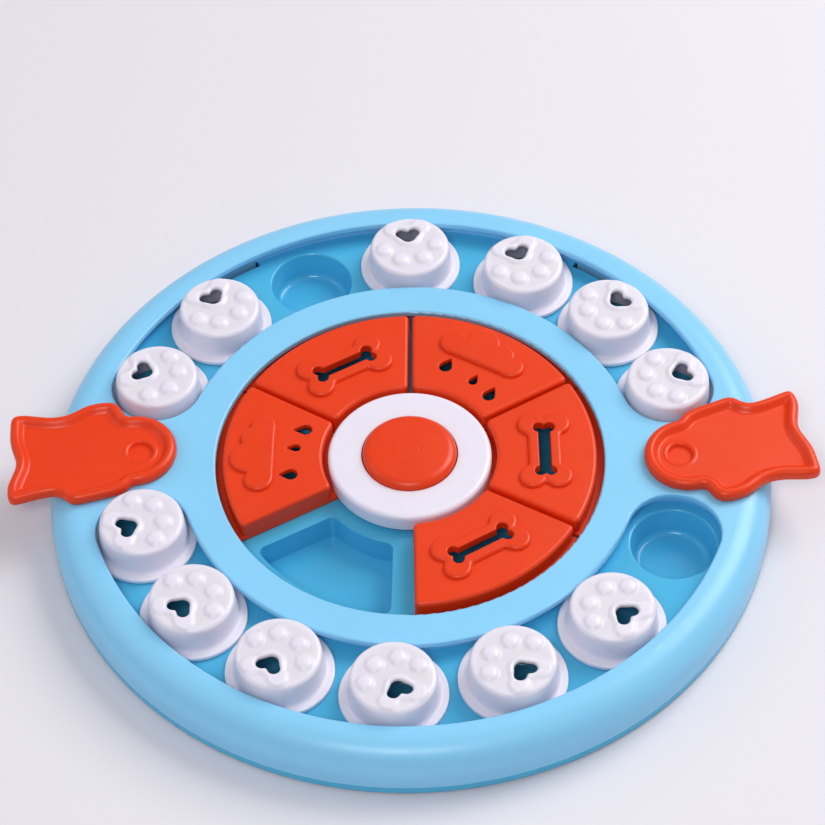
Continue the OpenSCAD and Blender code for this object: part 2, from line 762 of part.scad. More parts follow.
// Screw with a washer head that holds a fish's post in the cover
module fish_screw(side) {
    color(steel) at_fish(side) translate([0, 0, post_end]) rotate_extrude($fn = small_fn)
        polygon([[0, -2.4], [2.6, -2.4], [3, -2], [3, -washer_t], [washer_r, -washer_t],
            [washer_r, 0], [screw_r, 0], [screw_r, 4], [0, 4.6]]);
}

base_tray();
top_cover();
hub_cap();
press_button();
squeaker_bulb();
squeaker_reed();
paw_cap(0);  // paw_cap_01
paw_cap(1);  // paw_cap_02
paw_cap(2);  // paw_cap_03
paw_cap(3);  // paw_cap_04
paw_cap(4);  // paw_cap_05
paw_cap(5);  // paw_cap_06
paw_cap(6);  // paw_cap_07
paw_cap(7);  // paw_cap_08
paw_cap(8);  // paw_cap_09
paw_cap(9);  // paw_cap_10
paw_cap(10);  // paw_cap_11
paw_cap(11);  // paw_cap_12
bone_slider(0);  // bone_slider_1
bone_slider(1);  // bone_slider_2
bone_slider(2);  // bone_slider_3
cloud_slider(0);  // cloud_slider_1
cloud_slider(1);  // cloud_slider_2
fish(0);  // fish_left
fish(1);  // fish_right
fish_screw(0);  // fish_screw_left
fish_screw(1);  // fish_screw_right
hub_screws();
cover_screws();
rubber_feet();
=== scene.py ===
import json
import math

import bmesh
import bpy
import numpy as np
from mathutils import Matrix, Vector
from mathutils.geometry import delaunay_2d_cdt
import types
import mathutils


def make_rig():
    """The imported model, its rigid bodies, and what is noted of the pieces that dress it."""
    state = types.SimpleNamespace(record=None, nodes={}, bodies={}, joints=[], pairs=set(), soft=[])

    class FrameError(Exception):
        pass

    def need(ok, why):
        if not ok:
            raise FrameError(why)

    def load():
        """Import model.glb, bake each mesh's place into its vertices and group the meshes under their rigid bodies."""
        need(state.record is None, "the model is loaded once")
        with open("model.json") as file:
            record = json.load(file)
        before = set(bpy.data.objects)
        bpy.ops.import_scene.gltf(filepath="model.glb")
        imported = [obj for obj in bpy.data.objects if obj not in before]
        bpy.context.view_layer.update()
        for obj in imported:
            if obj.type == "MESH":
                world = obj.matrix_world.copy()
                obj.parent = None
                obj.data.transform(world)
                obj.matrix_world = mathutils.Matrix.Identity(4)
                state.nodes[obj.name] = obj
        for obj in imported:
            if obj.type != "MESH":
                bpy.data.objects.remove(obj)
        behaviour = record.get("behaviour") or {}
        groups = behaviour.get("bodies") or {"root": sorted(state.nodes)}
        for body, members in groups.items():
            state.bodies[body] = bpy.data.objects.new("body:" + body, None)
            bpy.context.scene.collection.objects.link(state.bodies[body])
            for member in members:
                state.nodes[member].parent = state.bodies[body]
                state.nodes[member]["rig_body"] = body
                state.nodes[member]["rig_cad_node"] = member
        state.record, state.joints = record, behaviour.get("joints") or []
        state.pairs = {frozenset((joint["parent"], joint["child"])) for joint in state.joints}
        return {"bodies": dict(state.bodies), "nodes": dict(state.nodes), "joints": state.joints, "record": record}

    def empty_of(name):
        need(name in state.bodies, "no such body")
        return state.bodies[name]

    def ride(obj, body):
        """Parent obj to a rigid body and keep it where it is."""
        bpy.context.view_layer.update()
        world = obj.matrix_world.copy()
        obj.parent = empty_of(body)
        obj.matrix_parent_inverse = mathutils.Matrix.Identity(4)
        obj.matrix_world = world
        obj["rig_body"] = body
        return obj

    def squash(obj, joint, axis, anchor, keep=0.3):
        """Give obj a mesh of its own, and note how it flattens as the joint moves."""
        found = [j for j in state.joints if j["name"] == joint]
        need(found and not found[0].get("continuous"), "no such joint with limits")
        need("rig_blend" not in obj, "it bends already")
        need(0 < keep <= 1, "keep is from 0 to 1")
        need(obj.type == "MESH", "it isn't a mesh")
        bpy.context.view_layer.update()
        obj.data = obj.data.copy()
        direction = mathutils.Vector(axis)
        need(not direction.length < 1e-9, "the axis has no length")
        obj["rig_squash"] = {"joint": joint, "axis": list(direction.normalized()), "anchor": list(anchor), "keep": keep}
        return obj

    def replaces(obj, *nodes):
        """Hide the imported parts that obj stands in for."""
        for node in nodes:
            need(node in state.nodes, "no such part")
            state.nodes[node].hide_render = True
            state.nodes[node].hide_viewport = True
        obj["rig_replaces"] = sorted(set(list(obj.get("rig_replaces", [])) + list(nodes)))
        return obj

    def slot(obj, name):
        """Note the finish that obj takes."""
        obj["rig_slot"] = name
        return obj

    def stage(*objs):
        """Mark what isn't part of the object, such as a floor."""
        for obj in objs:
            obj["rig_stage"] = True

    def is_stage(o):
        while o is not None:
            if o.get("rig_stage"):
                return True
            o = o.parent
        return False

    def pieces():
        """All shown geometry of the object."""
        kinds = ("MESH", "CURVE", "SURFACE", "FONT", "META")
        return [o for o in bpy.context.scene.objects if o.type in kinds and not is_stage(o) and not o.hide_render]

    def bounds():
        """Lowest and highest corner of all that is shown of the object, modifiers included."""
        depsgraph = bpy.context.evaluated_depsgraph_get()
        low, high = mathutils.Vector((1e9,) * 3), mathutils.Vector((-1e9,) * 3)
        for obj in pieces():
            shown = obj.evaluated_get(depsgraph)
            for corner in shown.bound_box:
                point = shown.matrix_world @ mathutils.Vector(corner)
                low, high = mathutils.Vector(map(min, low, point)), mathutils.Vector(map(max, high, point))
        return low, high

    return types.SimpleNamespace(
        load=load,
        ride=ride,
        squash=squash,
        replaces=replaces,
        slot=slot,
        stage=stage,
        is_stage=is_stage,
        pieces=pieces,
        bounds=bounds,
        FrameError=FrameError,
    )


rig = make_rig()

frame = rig.load()
cad_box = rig.bounds()
scene = bpy.context.scene
MM = 0.001                       # in metres; sizes are in mm unless a comment says otherwise


# ---- Camera: the photograph's viewing angle ---------------------------------

RING_R = 75.4                    # the inner radius of the cover's ring
COVER_TOP = 22.0
TURN = math.radians(2.75)        # about Z, from the fitted camera's frame to the object's
ELEVATION, YAW, ROLL = 0.869775, 0.0022132, 0.0316218    # radians
BACK, UP = 9.5448, 11.6559       # the camera's place from the cover's middle, in ring radii
FOCAL, IMAGE = 2938.64, 825.0    # in pixels of the photograph
SENSOR = 36
FAR_CLIP = 20                    # metres


def spin(v, angle):
    """A vector turned about Z."""
    c, s = math.cos(angle), math.sin(angle)
    return Vector((c * v[0] - s * v[1], s * v[0] + c * v[1], v[2]))


def make_camera():
    forward = Vector((math.cos(ELEVATION) * math.sin(YAW),
                      math.cos(ELEVATION) * math.cos(YAW),
                      -math.sin(ELEVATION)))
    right = Vector((math.cos(YAW), -math.sin(YAW), 0))
    down = forward.cross(right)
    image_x = math.cos(ROLL) * right + math.sin(ROLL) * down
    image_y = -math.sin(ROLL) * right + math.cos(ROLL) * down
    axes = [spin(a, TURN) for a in (image_x, -image_y, -forward)]
    turn = Matrix([[axes[c][r] for c in range(3)] for r in range(3)]).to_4x4()
    place = spin(Vector((0, -BACK * RING_R, UP * RING_R)), TURN) + Vector((0, 0, COVER_TOP))

    data = bpy.data.cameras.new("camera")
    data.sensor_width = SENSOR
    data.lens = FOCAL / IMAGE * SENSOR
    data.clip_end = FAR_CLIP
    camera = bpy.data.objects.new("camera", data)
    scene.collection.objects.link(camera)
    camera.matrix_world = Matrix.Translation(place * MM) @ turn
    scene.camera = camera


make_camera()


# ---- Materials -------------------------------------------------------------

# Noise scales are in cells per metre, bump depths in metres.
MOTTLE_SCALE, GLOSS_SCALE, GRAIN_SCALE, WAVE_SCALE = 24, 90, 2600, 60
NOISE_LOW, NOISE_HIGH = 0.3, 0.7             # the part of the noise's range that is used
GLOSS_UNDER, GLOSS_OVER = 0.04, 0.06         # how far roughness strays to each side
GRAIN_DEPTH = 0.00012
WAVE_DEPTH, WAVE_STRENGTH = 0.00035, 0.25
PLASTIC_IOR = 1.49
SCATTER_RADII = (1, 1, 1.15)                 # red, green and blue, as shares of the reach


def linear(rgb):
    """An sRGB colour, each channel from 0 to 255, as the linear colour that a shader takes."""
    return tuple(c / 12.92 if c <= 0.04045 else ((c + 0.055) / 1.055) ** 2.4
                 for c in (v / 255 for v in rgb))


def plastic(name, rgb, rough, mottle, grain, scatter=0.0, reach=0.0025):
    """Moulded plastic: faint colour mottling, uneven gloss, and a fine moulded grain."""
    mat = bpy.data.materials.new(name)
    mat.use_nodes = True
    nodes, links = mat.node_tree.nodes, mat.node_tree.links
    shader = nodes["Principled BSDF"]
    place = nodes.new("ShaderNodeTexCoord")

    def noise(scale, detail, roughness=0.5):
        n = nodes.new("ShaderNodeTexNoise")
        n.inputs["Scale"].default_value = scale
        n.inputs["Detail"].default_value = detail
        n.inputs["Roughness"].default_value = roughness
        links.new(place.outputs["Object"], n.inputs["Vector"])
        return n

    def spread(source, low, high):
        m = nodes.new("ShaderNodeMapRange")
        m.inputs["From Min"].default_value = NOISE_LOW
        m.inputs["From Max"].default_value = NOISE_HIGH
        m.inputs["To Min"].default_value = low
        m.inputs["To Max"].default_value = high
        links.new(source, m.inputs["Value"])
        return m.outputs["Result"]

    cloudy = noise(MOTTLE_SCALE, 4)
    base = linear(rgb)
    mix = nodes.new("ShaderNodeMix")
    mix.data_type = "RGBA"
    links.new(spread(cloudy.outputs["Fac"], 0, 1), mix.inputs["Factor"])
    mix.inputs["A"].default_value = (*[c * (1 - mottle) for c in base], 1)
    mix.inputs["B"].default_value = (*[min(1, c * (1 + mottle)) for c in base], 1)
    links.new(mix.outputs["Result"], shader.inputs["Base Color"])

    gloss = noise(GLOSS_SCALE, 5, 0.6)
    links.new(spread(gloss.outputs["Fac"], rough - GLOSS_UNDER, rough + GLOSS_OVER),
              shader.inputs["Roughness"])

    fine = noise(GRAIN_SCALE, 2)
    wavy = noise(WAVE_SCALE, 2)
    bump = nodes.new("ShaderNodeBump")
    bump.inputs["Strength"].default_value = grain
    bump.inputs["Distance"].default_value = GRAIN_DEPTH
    links.new(fine.outputs["Fac"], bump.inputs["Height"])
    slow = nodes.new("ShaderNodeBump")
    slow.inputs["Strength"].default_value = WAVE_STRENGTH
    slow.inputs["Distance"].default_value = WAVE_DEPTH
    links.new(wavy.outputs["Fac"], slow.inputs["Height"])
    links.new(bump.outputs["Normal"], slow.inputs["Normal"])
    links.new(slow.outputs["Normal"], shader.inputs["Normal"])

    shader.inputs["IOR"].default_value = PLASTIC_IOR
    if scatter:
        shader.inputs["Subsurface Weight"].default_value = scatter
        shader.inputs["Subsurface Radius"].default_value = SCATTER_RADII
        shader.inputs["Subsurface Scale"].default_value = reach
    return mat


def metal(name, rgb, rough):
    mat = plastic(name, rgb, rough, 0.05, 0.06)
    mat.node_tree.nodes["Principled BSDF"].inputs["Metallic"].default_value = 1.0
    return mat


# Name, colour, roughness, mottling and grain.
BLUE = plastic("blue_plastic", (146, 212, 246), 0.32, 0.015, 0.05)
DEEP_BLUE = plastic("tray_plastic", (90, 187, 224), 0.16, 0.015, 0.05)
WHITE = plastic("white_plastic", (236, 232, 244), 0.32, 0.01, 0.04, scatter=0.5, reach=0.0026)
RED = plastic("red_plastic", (233, 74, 28), 0.34, 0.025, 0.07, scatter=0.05)
RUBBER = plastic("foot_rubber", (205, 208, 214), 0.75, 0.05, 0.15)
BULB = plastic("bulb_rubber", (214, 202, 172), 0.6, 0.05, 0.12)
STEEL = metal("screw_steel", (196, 198, 204), 0.32)

# The CAD nodes' materials. Paw caps are white, and what isn't named here is red.
CAD_LOOKS = {
    "base_tray": DEEP_BLUE, "top_cover": BLUE, "hub_cap": WHITE, "squeaker_reed": WHITE,
    "squeaker_bulb": BULB, "rubber_feet": RUBBER, "hub_screws": STEEL, "cover_screws": STEEL,
    "fish_screw_left": STEEL, "fish_screw_right": STEEL,
}
for cad_name, cad_node in frame["nodes"].items():
    look = CAD_LOOKS.get(cad_name)
    if look is None:
        look = WHITE if cad_name.startswith("paw_cap") else RED
    cad_node.data.materials.clear()
    cad_node.data.materials.append(look)


# ---- Outlines as signed distances: below 0 inside, 0 on the line -------------

CORNER_STEPS = 8                 # points on a rounded corner of an outline


def disc(cx, cy, r):
    return lambda x, y: np.hypot(x - cx, y - cy) - r


def slab(cx, cy, half_x, half_y, r=0.0):
    """A rectangle with round corners of radius r."""
    def f(x, y):
        qx, qy = np.abs(x - cx) - half_x + r, np.abs(y - cy) - half_y + r
        beyond = np.hypot(np.maximum(qx, 0), np.maximum(qy, 0))
        return beyond + np.minimum(np.maximum(qx, qy), 0) - r
    return f


def soft_union(k, *parts):
    """Shapes joined, with fillets about k wide where they meet."""
    def f(x, y):
        d = parts[0](x, y)
        for p in parts[1:]:
            e = p(x, y)
            h = np.clip(0.5 + 0.5 * (e - d) / k, 0, 1)
            d = e * (1 - h) + d * h - k * h * (1 - h)
        return d
    return f


def taper(a, b):
    """A bar with round ends that narrows from circle a to circle b, each x, y, r."""
    (ax, ay, ar), (bx, by, br) = a, b
    long = math.hypot(bx - ax, by - ay)
    ux, uy = (bx - ax) / long, (by - ay) / long
    lean = (ar - br) / long
    c = math.sqrt(1 - lean * lean)

    def f(x, y):
        along = (x - ax) * ux + (y - ay) * uy
        across = np.abs((y - ay) * ux - (x - ax) * uy)
        k = along * c - across * lean
        side = across * c + along * lean - ar
        return np.where(k < 0, np.hypot(along, across) - ar,
                        np.where(k > c * long, np.hypot(along - long, across) - br, side))
    return f


def rounded(points, cut):
    """A closed outline whose corners are curves that start at most cut before the corner."""
    p = np.array(points, float)
    out = []
    for i, here in enumerate(p):
        ends = []
        for near in (p[i - 1], p[(i + 1) % len(p)]):
            way = near - here
            ends.append(here + way * min(0.5, cut / np.hypot(*way)))
        for t in np.arange(CORNER_STEPS) / CORNER_STEPS:
            out.append((1 - t) ** 2 * ends[0] + 2 * t * (1 - t) * here + t * t * ends[1])
    return np.array(out)


def polygon(points, grow=0.0):
    """A closed polygon; grow moves its line outwards and rounds its corners."""
    a = np.array(points, float)
    b = np.roll(a, -1, axis=0)

    def f(x, y):
        x, y = np.asarray(x, float), np.asarray(y, float)
        flat = np.stack([x.ravel(), y.ravel()], 1)
        best = np.full(len(flat), np.inf)
        within = np.zeros(len(flat), bool)
        for p, q in zip(a, b):
            e, w = q - p, flat - p
            t = np.clip((w @ e) / (e @ e), 0, 1)
            best = np.minimum(best, np.hypot(w[:, 0] - t * e[0], w[:, 1] - t * e[1]))
            crosses = (p[1] > flat[:, 1]) != (q[1] > flat[:, 1])
            with np.errstate(divide="ignore", invalid="ignore"):
                at = p[0] + (flat[:, 1] - p[1]) * e[0] / e[1]
            within ^= crosses & (flat[:, 0] < at)
        return (np.where(within, -best, best) - grow).reshape(x.shape)
    return f


def sector(inner, outer, side, corner):
    """A 60 degree sector along +X whose sides lie at a distance from the sector lines."""
    def f(x, y):
        r = np.hypot(x, y)
        radial = np.maximum(inner + corner - r, r - outer + corner)
        sides = side + corner - (x * 0.5 - np.abs(y) * math.sqrt(0.75))
        out = np.hypot(np.maximum(radial, 0), np.maximum(sides, 0))
        return out + np.minimum(np.maximum(radial, sides), 0) - corner
    return f


# ---- Closed lines, or loops, from outlines -----------------------------------

NOT_ZERO = 1e-9                  # stands in for a distance of exactly 0
SPACING, END_SPACING = 0.62, 0.5     # least gaps along a loop and at its end, in grid steps
FEW = 5                          # a loop with no more points than this is left out
NEWTON_STEPS = 2
LEAST_SLOPE = 0.5                # steps are no longer than at this slope


def contours(f, level, box, step):
    """The loops where f equals level, by marching squares, thinned and set on the line."""
    x0, y0, x1, y1 = box
    xs, ys = np.arange(x0, x1 + step, step), np.arange(y0, y1 + step, step)
    gx, gy = np.meshgrid(xs, ys, indexing="ij")
    v = f(gx, gy) - level
    v[v == 0] = NOT_ZERO
    neg = v < 0
    cells = np.stack([neg[:-1, :-1], neg[1:, :-1], neg[1:, 1:], neg[:-1, 1:]])
    links = {}

    def join(a, b):
        links.setdefault(a, []).append(b)
        links.setdefault(b, []).append(a)

    for i, j in zip(*np.nonzero(cells.any(0) & ~cells.all(0))):
        i, j = int(i), int(j)
        corners = cells[:, i, j]
        sides = [("h", i, j), ("v", i + 1, j), ("h", i, j + 1), ("v", i, j)]
        cut = [s for s in range(4) if corners[s] != corners[(s + 1) % 4]]
        if len(cut) == 2:
            join(sides[cut[0]], sides[cut[1]])
        else:
            middle = v[i:i + 2, j:j + 2].mean() < 0
            first = (0, 3) if corners[0] != middle else (0, 1)
            rest = [s for s in range(4) if s not in first]
            join(sides[first[0]], sides[first[1]])
            join(sides[rest[0]], sides[rest[1]])

    def place(key):
        kind, i, j = key
        a, b = (v[i, j], v[i + 1, j]) if kind == "h" else (v[i, j], v[i, j + 1])
        t = a / (a - b)
        return (xs[i] + step * t, ys[j]) if kind == "h" else (xs[i], ys[j] + step * t)

    loops, seen = [], set()
    for start in links:
        if start in seen:
            continue
        path, here, before = [], start, None
        while here not in seen:
            seen.add(here)
            path.append(place(here))
            ahead = [n for n in links[here] if n != before] or links[here]
            before, here = here, ahead[0]
        path = np.array(path)
        keep, last = [0], path[0]
        for n in range(1, len(path)):
            from_last, from_start = np.hypot(*(path[n] - last)), np.hypot(*(path[n] - path[0]))
            if from_last > SPACING * step and from_start > END_SPACING * step:
                keep.append(n)
                last = path[n]
        if len(keep) > FEW:
            loops.append(settled(path[keep], f, level))
    return loops


def exact(points):
    """The same points as Blender stores them, so that faces made from them meet."""
    return np.asarray(points).astype(np.float32).astype(float)


def slope(f, p):
    """The direction in which a signed distance grows, at each point, and how fast."""
    h = 0.01
    x, y = p[:, 0], p[:, 1]
    return np.stack([f(x + h, y) - f(x - h, y), f(x, y + h) - f(x, y - h)], 1) / (2 * h)


def settled(p, f, level):
    """Points moved onto the line where f equals level, by Newton's method."""
    for _ in range(NEWTON_STEPS):
        g = slope(f, p)
        steep = np.maximum((g * g).sum(1), LEAST_SLOPE ** 2)
        p = p - g * ((f(p[:, 0], p[:, 1]) - level) / steep)[:, None]
    return exact(p)


def offset(loop, f, way):
    """A loop moved along f's slope: outwards, or inwards where way is negative."""
    g = slope(f, loop)
    steep = np.maximum(np.hypot(g[:, 0], g[:, 1]), LEAST_SLOPE)
    return exact(loop + g * (way / steep)[:, None])


def inside(loops, p):
    """Which points an odd number of the loops surrounds."""
    odd = np.zeros(len(p), bool)
    x, y = p[:, 0], p[:, 1]
    for loop in loops:
        for a, b in zip(loop, np.roll(loop, -1, axis=0)):
            if a[1] != b[1]:
                at = a[0] + (y - a[1]) * (b[0] - a[0]) / (b[1] - a[1])
                odd ^= ((a[1] > y) != (b[1] > y)) & (x < at)
    return odd


def ring(cx, cy, r, n):
    """A circle of n points."""
    a = np.arange(n) * 2 * math.pi / n
    return exact(np.stack([cx + r * np.cos(a), cy + r * np.sin(a)], 1))


def lifted(loop, z):
    """A loop's points in space, at one height or at a height each."""
    loop = np.asarray(loop)
    return np.column_stack([loop, np.broadcast_to(z, len(loop))])


# ---- Heights over an outline -------------------------------------------------

BEAD_POWER = 2.4                 # above 2, a bead's shoulder is fuller than a circle


def smooth(t):
    """From 0 to 1 with a level start and end."""
    return t * t * (3 - 2 * t)


def rise(d, height, foot, shoulder):
    """A raised area: 0 further out than foot, its full height further in than shoulder."""
    return height * smooth(np.clip((foot - d) / (foot + shoulder), 0, 1))


def bead(d, height, foot, shoulder):
    """A raised area with a crisp foot and a round shoulder."""
    t = np.clip((foot - d) / (foot + shoulder), 0, 1)
    return height * np.sqrt(np.maximum(1 - (1 - t) ** BEAD_POWER, 0))


def fall(depth, r):
    """How far a quarter-round of radius r has dropped at a depth in from its edge."""
    t = np.clip(depth, 0, r)
    return r - np.sqrt(np.maximum(r * r - (r - t) ** 2, 0))


# ---- Meshes from loops -------------------------------------------------------

WELD = 3e-6                      # metres; points nearer than this become one
SEAM_GAP = 1.5e-4                # metres; a point this near to an open edge lies on it
SEAM_ENDS = 0.001                # the share at each end of an edge where it isn't split
SEAM_ROUNDS = 3
SLIVER = 1e-6                    # metres; shorter edges go
SAME_POINT = 1e-5                # loops' points nearer than this are one
SHARP = math.radians(32)         # edges with a wider turn than this stay sharp


def close_seams(work):
    """Where a point lies on another face's open edge, that edge gets the point too."""
    work.verts.index_update()
    seams = [e for e in work.edges if len(e.link_faces) == 1]
    ends = {v for e in seams for v in e.verts}
    for e in seams:
        a, b = e.verts
        way = b.co - a.co
        for v in sorted(ends - {a, b}, key=lambda v: v.index):
            t = (v.co - a.co).dot(way) / way.length_squared
            if SEAM_ENDS < t < 1 - SEAM_ENDS and (v.co - a.co - way * t).length < SEAM_GAP:
                bmesh.utils.edge_split(e, a, t)[1].co = v.co
                break
    bmesh.ops.remove_doubles(work, verts=work.verts, dist=WELD)


class Solid:
    """Collects faces in mm, then welds them into one closed mesh."""

    def __init__(self):
        self.points, self.faces = [], []

    def add(self, points, faces):
        base = len(self.points)
        self.points += [tuple(p) for p in points]
        self.faces += [tuple(base + i for i in f) for f in faces]

    def fill(self, bounds, height, inner=()):
        """Triangles inside the bounds, by the even-odd rule, lifted to height.

        The inner loops bound nothing: they put points where the height bends.
        """
        pts, edges = [], []
        for loop in [*bounds, *inner]:
            base, n = len(pts), len(loop)
            pts += [Vector((float(x), float(y))) for x, y in loop]
            edges += [(base + i, base + (i + 1) % n) for i in range(n)]
        found = delaunay_2d_cdt(pts, edges, [], 0, SAME_POINT)
        xy = np.array([(p.x, p.y) for p in found[0]])
        tris = np.array([f for f in found[2] if len(f) == 3])
        stay = inside(bounds, xy[tris].mean(1))
        z = height(xy[:, 0], xy[:, 1]) + np.zeros(len(xy))
        self.add(np.column_stack([xy, z]), tris[stay])

    def walls(self, rings):
        """Quads between rings of the same number of points, each a list of (x, y, z)."""
        n = len(rings[0])
        points = [p for r in rings for p in r]
        faces = [(k * n + i, k * n + (i + 1) % n, (k + 1) * n + (i + 1) % n, (k + 1) * n + i)
                 for k in range(len(rings) - 1) for i in range(n)]
        self.add(points, faces)

    def wall(self, loop, top, bottom):
        self.walls([lifted(loop, top), lifted(loop, bottom)])

    def turned(self, profile, steps):
        """Walls that turn a profile of (r, z) about Z."""
        self.walls([lifted(ring(0, 0, r, steps), z) for r, z in profile])

    def turned_body(self, profile, steps):
        """A turned profile that starts and ends near the axis, with both ends closed."""
        self.turned(profile, steps)
        for r, z in (profile[0], profile[-1]):
            self.add(lifted(ring(0, 0, r, steps), z), [tuple(range(steps))])

    def welded(self, name, look):
        mesh = bpy.data.meshes.new(name)
        work = bmesh.new()
        verts = [work.verts.new((x * MM, y * MM, z * MM)) for x, y, z in self.points]
        for f in self.faces:
            if len(set(f)) > 2:
                try:
                    work.faces.new([verts[i] for i in f])
                except ValueError:           # the same face is there already
                    pass
        bmesh.ops.remove_doubles(work, verts=work.verts, dist=WELD)
        bmesh.ops.dissolve_degenerate(work, edges=work.edges, dist=SLIVER)
        for _ in range(SEAM_ROUNDS):
            close_seams(work)
        bmesh.ops.delete(work, geom=[v for v in work.verts if not v.link_faces], context="VERTS")
        bmesh.ops.recalc_face_normals(work, faces=work.faces)
        for e in work.edges:
            e.smooth = len(e.link_faces) != 2 or e.calc_face_angle(0) < SHARP
        for f in work.faces:
            f.smooth = True
        work.to_mesh(mesh)
        work.free()
        mesh.materials.append(look)
        return mesh


def place_piece(name, mesh, body, cad_node, slot_name, matrix=None):
    """Puts a mesh in the scene, on its body, in the place of its CAD node."""
    piece = bpy.data.objects.new(name, mesh)
    scene.collection.objects.link(piece)
    if matrix is not None:
        piece.matrix_world = matrix
    weigh = piece.modifiers.new("weighted_normals", "WEIGHTED_NORMAL")
    weigh.keep_sharp = True
    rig.ride(piece, body)
    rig.replaces(piece, cad_node)
    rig.slot(piece, slot_name)
    return piece


def about_z(deg, x=0.0):
    """Moved by x along X and turned about its own Z."""
    return Matrix.Translation(Vector((x, 0, 0)) * MM) @ Matrix.Rotation(math.radians(deg), 4, "Z")


# ---- Sizes that the pieces repeat from the CAD -------------------------------

CHANNEL_R = 107.0                # the middle of the caps' channels
SLIDE_Z, FLANGE_Z = 14.3, 16.2   # a flange's underside and top
CAP_TOP, SLIDER_TOP = 27.2, 23.7
CAP_ANGLES = [19.9, 43.1, 65.7, 91.2, 136.8, 160, 199.7, 222.2, 244.7, 268.1, 291.9, 315.7]
CAP_TURNS = [3, 0, 47, 8, -12, 1, 10, 8, -4, 24, 18, 5]      # of each cap about itself
BONE_ANGLES = [120.8, 1.9, 302]
CLOUD_ANGLES = [61.3, 180.4]
FISH_PIVOT = 104.2               # from the middle to each fish's eye
FISH_ANGLES = {"left": 188.0, "right": 15.4}
FISH_UNDER, FISH_TOP = 22.3, 26.6


# ---- Paw caps: +X points from the toes to the pad, where the heart is --------

CAP_STEPS, TOE_STEPS = 144, 36
TOP_R, TOP_ROUND = 16.1, 1.8     # the top's radius and its edge's
TOES = [(-0.95, -10.6), (-7.2, -4.6), (-7.2, 4.6), (-0.95, 10.6)]
TOE_R, TOE_DOME = 3.5, 0.6
PAD_RISE = (0.9, 0.8, 1.2)       # height, and how far its slope reaches outwards and inwards
TOE_RISE = (0.7, 0.8, 1.3)
HEART_RIM, HEART_DIP = 1.3, 0.8  # how far the rounded rim reaches, and its depth as a share
CAP_CEILING = 26.3               # of the hollow inside
CAP_PROFILE = [
    (16.5, 21.4), (16.85, 17.6),                                      # side
    (16.95, 17.1), (17.2, 16.66), (17.6, 16.33), (18.1, FLANGE_Z),    # fillet
    (19.8, FLANGE_Z), (20.1, 16.1), (20.27, 15.9), (20.3, 15.7),      # flange
    (20.3, 14.5), (20.15, SLIDE_Z),
    (14.6, SLIDE_Z), (14.1, CAP_CEILING - 1), (13.1, CAP_CEILING)]    # hollow


def paw_cap_mesh():
    heart = soft_union(0.5, taper((4.9, 0, 2.75), (7.05, 2.55, 2.35)),
                       taper((4.9, 0, 2.75), (7.05, -2.55, 2.35)))
    pad = soft_union(2.2, disc(5.6, 0, 5.7), disc(9.9, 5.6, 3.9), disc(9.9, -5.6, 3.9))
    box = (-17, -17, 17, 17)

    def height(x, y):
        z = CAP_TOP - fall(TOP_R - np.hypot(x, y), TOP_ROUND)
        z = z + rise(pad(x, y), *PAD_RISE)
        for tx, ty in TOES:
            away = np.hypot(x - tx, y - ty)
            dome = TOE_DOME * np.clip(1 - (away / TOE_R) ** 2, 0, 1)
            z = z + rise(away - TOE_R, *TOE_RISE) + dome
        return z - HEART_DIP * fall(heart(x, y), HEART_RIM)

    solid = Solid()
    loops = [ring(0, 0, TOP_R - inset, CAP_STEPS)
             for inset in (0.03, 0.12, 0.3, 0.55, 0.9, 1.3, 1.8)]
    for level in (0.8, 0.55, 0.25, 0.0, -0.3, -0.6, -0.9, -1.2):
        loops += contours(pad, level, box, 0.5)
    for tx, ty in TOES:
        for grow in (0.8, 0.55, 0.25, 0.0, -0.25, -0.5, -0.9, -1.3, -1.8, -2.3, -2.9):
            loops.append(ring(tx, ty, TOE_R + grow, TOE_STEPS))
    holes = contours(heart, 0, box, 0.3)
    loops += [offset(hole, heart, out)
              for hole in holes for out in (0.05, 0.18, 0.36, 0.6, 0.9, 1.3)]
    brow = ring(0, 0, TOP_R, CAP_STEPS)
    solid.fill([brow, *holes], height, loops)
    side_r, side_z = CAP_PROFILE[0]
    solid.walls([lifted(brow, height(brow[:, 0], brow[:, 1])),
                 lifted(ring(0, 0, side_r, CAP_STEPS), side_z)])
    solid.turned(CAP_PROFILE, CAP_STEPS)
    for hole in holes:
        solid.wall(hole, height(hole[:, 0], hole[:, 1]), CAP_CEILING)
    ceiling_r = CAP_PROFILE[-1][0]
    solid.fill([ring(0, 0, ceiling_r, CAP_STEPS), *holes], lambda x, y: CAP_CEILING)
    return solid.welded("paw_cap", WHITE)


cap_mesh = paw_cap_mesh()
for n, (angle, turn) in enumerate(zip(CAP_ANGLES, CAP_TURNS), 1):
    at = about_z(angle) @ about_z(turn, CHANNEL_R)
    place_piece(f"cap_{n:02d}", cap_mesh, f"cap_{n:02d}", f"paw_cap_{n:02d}", "white_plastic", at)


# ---- Sector sliders ----------------------------------------------------------

SLIDER_BOX = (24, -42, 82, 42)
SLIDER_BODY = sector(33.7, 72.3, 0.99, 2.0)
SLIDER_FLANGE = sector(28.6, 78.6, 0.88, 1.2)
SLIDER_HOLLOW = sector(35.9, 70.1, 3.2, 0.6)
SLIDER_CEILING = 21.7            # of the hollow inside
SLIDER_EDGE, HOLE_RIM = 1.5, 0.55    # radii of the top's edge and of a hole's
RELIEF_HIGH, RELIEF_FOOT, RELIEF_SHOULDER = 1.6, 0.25, 1.3


